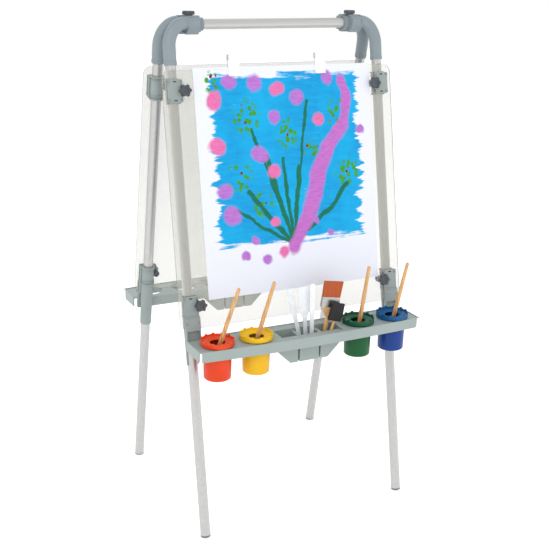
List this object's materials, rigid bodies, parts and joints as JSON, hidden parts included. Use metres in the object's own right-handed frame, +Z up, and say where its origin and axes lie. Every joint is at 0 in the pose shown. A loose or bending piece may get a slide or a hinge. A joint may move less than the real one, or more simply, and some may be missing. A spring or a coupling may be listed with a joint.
{
  "type": "children's easel",
  "caption": "Double-sided folding children's easel with clear boards, bow-front paint trays, lidded paint cups, brushes and clipped paper.",
  "frame": {"origin": "on the floor under the middle of the crossbar", "axes": "+Z up, +X along the crossbar to the right seen from the front, front board faces -Y"},
  "size_m": [0.647, 0.56, 1.2913],
  "materials": {
    "crossbar_tube": "satin drawn tube",
    "front_left_leg_tube": "satin drawn tube",
    "front_right_leg_tube": "satin drawn tube",
    "front_foot_plugs": "moulded",
    "rear_right_leg_tube": "satin drawn tube",
    "rear_left_leg_tube": "satin drawn tube",
    "rear_foot_plugs": "moulded",
    "crossbar_inserts": "turned",
    "front_left_elbow": "moulded, fine texture",
    "front_right_elbow": "moulded, fine texture",
    "rear_right_elbow": "moulded, fine texture",
    "rear_left_elbow": "moulded, fine texture",
    "left_hinge_knob": "moulded round a steel stud",
    "right_hinge_knob": "moulded round a steel stud",
    "front_panel": "clear sheet",
    "front_left_tray_bracket": "moulded",
    "front_left_bracket_sleeve": "moulded",
    "front_right_tray_bracket": "moulded",
    "front_right_bracket_sleeve": "moulded",
    "front_clamp_plates": "moulded",
    "front_clamp_shells": "moulded",
    "front_clamp_screws": "zinc plated",
    "front_knob_nuts": "moulded cap nut",
    "front_top_left_knob": "moulded round a steel stud",
    "front_lower_left_knob": "moulded round a steel stud",
    "front_top_right_knob": "moulded round a steel stud",
    "front_lower_right_knob": "moulded round a steel stud",
    "front_tray": "moulded",
    "rear_panel": "clear sheet",
    "rear_right_tray_bracket": "moulded",
    "rear_right_bracket_sleeve": "moulded",
    "rear_left_tray_bracket": "moulded",
    "rear_left_bracket_sleeve": "moulded",
    "rear_clamp_plates": "moulded",
    "rear_clamp_shells": "moulded",
    "rear_clamp_screws": "zinc plated",
    "rear_knob_nuts": "moulded cap nut",
    "rear_top_right_knob": "moulded round a steel stud",
    "rear_lower_right_knob": "moulded round a steel stud",
    "rear_top_left_knob": "moulded round a steel stud",
    "rear_lower_left_knob": "moulded round a steel stud",
    "rear_tray": "moulded",
    "orange_paint_cup": "moulded",
    "orange_cup_lid": "moulded",
    "orange_cup_brush": "varnished handle, bristle head",
    "yellow_paint_cup": "moulded",
    "yellow_cup_lid": "moulded",
    "yellow_cup_brush": "varnished handle, bristle head",
    "green_paint_cup": "moulded",
    "green_cup_lid": "moulded",
    "green_cup_brush": "varnished handle, bristle head",
    "blue_paint_cup": "moulded",
    "blue_cup_lid": "moulded",
    "blue_cup_brush": "varnished handle, bristle head",
    "plastic_spreaders": "translucent",
    "flat_brush": "varnished handle, metal ferrule, bristles",
    "foam_brush": "dowel handle, foam head",
    "painting_paper": "painted sheet",
    "left_paper_clip": "moulded spring",
    "right_paper_clip": "moulded spring"
  },
  "bodies": {
    "front_frame": {"crossbar_tube": "crossbar_tube", "crossbar_inserts": "crossbar_inserts", "front_left_elbow": "front_left_elbow", "front_right_elbow": "front_right_elbow", "front_left_leg_tube": "front_left_leg_tube", "front_right_leg_tube": "front_right_leg_tube", "front_foot_plugs": "front_foot_plugs"},
    "rear_frame": {"rear_left_elbow": "rear_left_elbow", "rear_right_elbow": "rear_right_elbow", "rear_left_leg_tube": "rear_left_leg_tube", "rear_right_leg_tube": "rear_right_leg_tube", "rear_foot_plugs": "rear_foot_plugs"},
    "front_board": {"front_panel": "front_panel", "front_left_tray_bracket": "front_left_tray_bracket", "front_left_bracket_sleeve": "front_left_bracket_sleeve", "front_right_tray_bracket": "front_right_tray_bracket", "front_right_bracket_sleeve": "front_right_bracket_sleeve", "front_clamp_plates": "front_clamp_plates", "front_clamp_shells": "front_clamp_shells", "front_clamp_screws": "front_clamp_screws", "front_knob_nuts": "front_knob_nuts", "front_tray": "front_tray"},
    "rear_board": {"rear_panel": "rear_panel", "rear_left_tray_bracket": "rear_left_tray_bracket", "rear_left_bracket_sleeve": "rear_left_bracket_sleeve", "rear_right_tray_bracket": "rear_right_tray_bracket", "rear_right_bracket_sleeve": "rear_right_bracket_sleeve", "rear_clamp_plates": "rear_clamp_plates", "rear_clamp_shells": "rear_clamp_shells", "rear_clamp_screws": "rear_clamp_screws", "rear_knob_nuts": "rear_knob_nuts", "rear_tray": "rear_tray"},
    "left_hinge_knob": {"left_hinge_knob": "left_hinge_knob"},
    "right_hinge_knob": {"right_hinge_knob": "right_hinge_knob"},
    "front_top_left_knob": {"front_top_left_knob": "front_top_left_knob"},
    "front_lower_left_knob": {"front_lower_left_knob": "front_lower_left_knob"},
    "front_top_right_knob": {"front_top_right_knob": "front_top_right_knob"},
    "front_lower_right_knob": {"front_lower_right_knob": "front_lower_right_knob"},
    "rear_top_right_knob": {"rear_top_right_knob": "rear_top_right_knob"},
    "rear_lower_right_knob": {"rear_lower_right_knob": "rear_lower_right_knob"},
    "rear_top_left_knob": {"rear_top_left_knob": "rear_top_left_knob"},
    "rear_lower_left_knob": {"rear_lower_left_knob": "rear_lower_left_knob"},
    "orange_cup": {"orange_paint_cup": "orange_paint_cup"},
    "orange_lid": {"orange_cup_lid": "orange_cup_lid"},
    "orange_brush": {"orange_cup_brush": "orange_cup_brush"},
    "yellow_cup": {"yellow_paint_cup": "yellow_paint_cup"},
    "yellow_lid": {"yellow_cup_lid": "yellow_cup_lid"},
    "yellow_brush": {"yellow_cup_brush": "yellow_cup_brush"},
    "green_cup": {"green_paint_cup": "green_paint_cup"},
    "green_lid": {"green_cup_lid": "green_cup_lid"},
    "green_brush": {"green_cup_brush": "green_cup_brush"},
    "blue_cup": {"blue_paint_cup": "blue_paint_cup"},
    "blue_lid": {"blue_cup_lid": "blue_cup_lid"},
    "blue_brush": {"blue_cup_brush": "blue_cup_brush"},
    "spreaders": {"plastic_spreaders": "plastic_spreaders"},
    "flat_brush": {"flat_brush": "flat_brush"},
    "foam_brush": {"foam_brush": "foam_brush"},
    "paper": {"painting_paper": "painting_paper"},
    "left_clip": {"left_paper_clip": "left_paper_clip"},
    "right_clip": {"right_paper_clip": "right_paper_clip"}
  },
  "joints": [
    {"name": "fold", "type": "hinge", "parent": "front_frame", "child": "rear_frame", "pos_m": [0, 0, 1.26], "axis": [-1, 0, 0], "range_deg": [0, 19]},
    {"name": "front_board_height", "type": "slide", "parent": "front_frame", "child": "front_board", "axis": [0, 0.1805, 0.9836], "range_m": [-0.3, 0.01]},
    {"name": "rear_board_height", "type": "slide", "parent": "rear_frame", "child": "rear_board", "axis": [0, -0.1805, 0.9836], "range_m": [-0.3, 0.01]},
    {"name": "left_hinge_knob_turn", "type": "hinge", "parent": "front_frame", "child": "left_hinge_knob", "pos_m": [-0.225, 0, 1.29], "axis": [0, 0, 1], "range_deg": [0, 720]},
    {"name": "right_hinge_knob_turn", "type": "hinge", "parent": "front_frame", "child": "right_hinge_knob", "pos_m": [0.225, 0, 1.29], "axis": [0, 0, 1], "range_deg": [0, 720]},
    {"name": "front_top_left_knob_turn", "type": "hinge", "parent": "front_board", "child": "front_top_left_knob", "pos_m": [-0.2625, -0.07502, 1.1116], "axis": [0, -0.9836, 0.1805], "range_deg": [0, 720]},
    {"name": "front_lower_left_knob_turn", "type": "hinge", "parent": "front_board", "child": "front_lower_left_knob", "pos_m": [-0.2625, -0.16934, 0.59769], "axis": [0, -0.9836, 0.1805], "range_deg": [0, 720]},
    {"name": "front_top_right_knob_turn", "type": "hinge", "parent": "front_board", "child": "front_top_right_knob", "pos_m": [0.2695, -0.07502, 1.1116], "axis": [0, -0.9836, 0.1805], "range_deg": [0, 720]},
    {"name": "front_lower_right_knob_turn", "type": "hinge", "parent": "front_board", "child": "front_lower_right_knob", "pos_m": [0.2695, -0.16934, 0.59769], "axis": [0, -0.9836, 0.1805], "range_deg": [0, 720]},
    {"name": "rear_top_right_knob_turn", "type": "hinge", "parent": "rear_board", "child": "rear_top_right_knob", "pos_m": [0.2625, 0.07502, 1.1116], "axis": [0, 0.9836, 0.1805], "range_deg": [0, 720]},
    {"name": "rear_lower_right_knob_turn", "type": "hinge", "parent": "rear_board", "child": "rear_lower_right_knob", "pos_m": [0.2625, 0.16934, 0.59769], "axis": [0, 0.9836, 0.1805], "range_deg": [0, 720]},
    {"name": "rear_top_left_knob_turn", "type": "hinge", "parent": "rear_board", "child": "rear_top_left_knob", "pos_m": [-0.2695, 0.07502, 1.1116], "axis": [0, 0.9836, 0.1805], "range_deg": [0, 720]},
    {"name": "rear_lower_left_knob_turn", "type": "hinge", "parent": "rear_board", "child": "rear_lower_left_knob", "pos_m": [-0.2695, 0.16934, 0.59769], "axis": [0, 0.9836, 0.1805], "range_deg": [0, 720]},
    {"name": "orange_cup_lift", "type": "slide", "parent": "front_board", "child": "orange_cup", "axis": [0, 0, 1], "range_m": [0, 0.1]},
    {"name": "orange_lid_lift", "type": "slide", "parent": "orange_cup", "child": "orange_lid", "axis": [0, 0, 1], "range_m": [0, 0.04]},
    {"name": "orange_brush_lift", "type": "slide", "parent": "orange_lid", "child": "orange_brush", "axis": [0.2483, -0.1715, 0.9534], "range_m": [0, 0.15]},
    {"name": "yellow_cup_lift", "type": "slide", "parent": "front_board", "child": "yellow_cup", "axis": [0, 0, 1], "range_m": [0, 0.1]},
    {"name": "yellow_lid_lift", "type": "slide", "parent": "yellow_cup", "child": "yellow_lid", "axis": [0, 0, 1], "range_m": [0, 0.04]},
    {"name": "yellow_brush_lift", "type": "slide", "parent": "yellow_lid", "child": "yellow_brush", "axis": [0.2139, -0.1528, 0.9648], "range_m": [0, 0.15]},
    {"name": "green_cup_lift", "type": "slide", "parent": "front_board", "child": "green_cup", "axis": [0, 0, 1], "range_m": [0, 0.1]},
    {"name": "green_lid_lift", "type": "slide", "parent": "green_cup", "child": "green_lid", "axis": [0, 0, 1], "range_m": [0, 0.04]},
    {"name": "green_brush_lift", "type": "slide", "parent": "green_lid", "child": "green_brush", "axis": [0.0606, -0.1216, 0.9907], "range_m": [0, 0.15]},
    {"name": "blue_cup_lift", "type": "slide", "parent": "front_board", "child": "blue_cup", "axis": [0, 0, 1], "range_m": [0, 0.1]},
    {"name": "blue_lid_lift", "type": "slide", "parent": "blue_cup", "child": "blue_lid", "axis": [0, 0, 1], "range_m": [0, 0.04]},
    {"name": "blue_brush_lift", "type": "slide", "parent": "blue_lid", "child": "blue_brush", "axis": [0.1118, -0.1555, 0.9815], "range_m": [0, 0.15]},
    {"name": "spreaders_lift", "type": "slide", "parent": "front_board", "child": "spreaders", "axis": [0, 0, 1], "range_m": [0, 0.12]},
    {"name": "flat_brush_lift", "type": "slide", "parent": "front_board", "child": "flat_brush", "axis": [0, 0, 1], "range_m": [0, 0.12]},
    {"name": "foam_brush_lift", "type": "slide", "parent": "front_board", "child": "foam_brush", "axis": [0, 0, 1], "range_m": [0, 0.12]},
    {"name": "paper_slide", "type": "slide", "parent": "front_board", "child": "paper", "axis": [0, -0.1805, -0.9836], "range_m": [0, 0.05]},
    {"name": "left_clip_lift", "type": "slide", "parent": "front_board", "child": "left_clip", "axis": [0, 0.1805, 0.9836], "range_m": [0, 0.03]},
    {"name": "right_clip_lift", "type": "slide", "parent": "front_board", "child": "right_clip", "axis": [0, 0.1805, 0.9836], "range_m": [0, 0.03]}
  ]
}
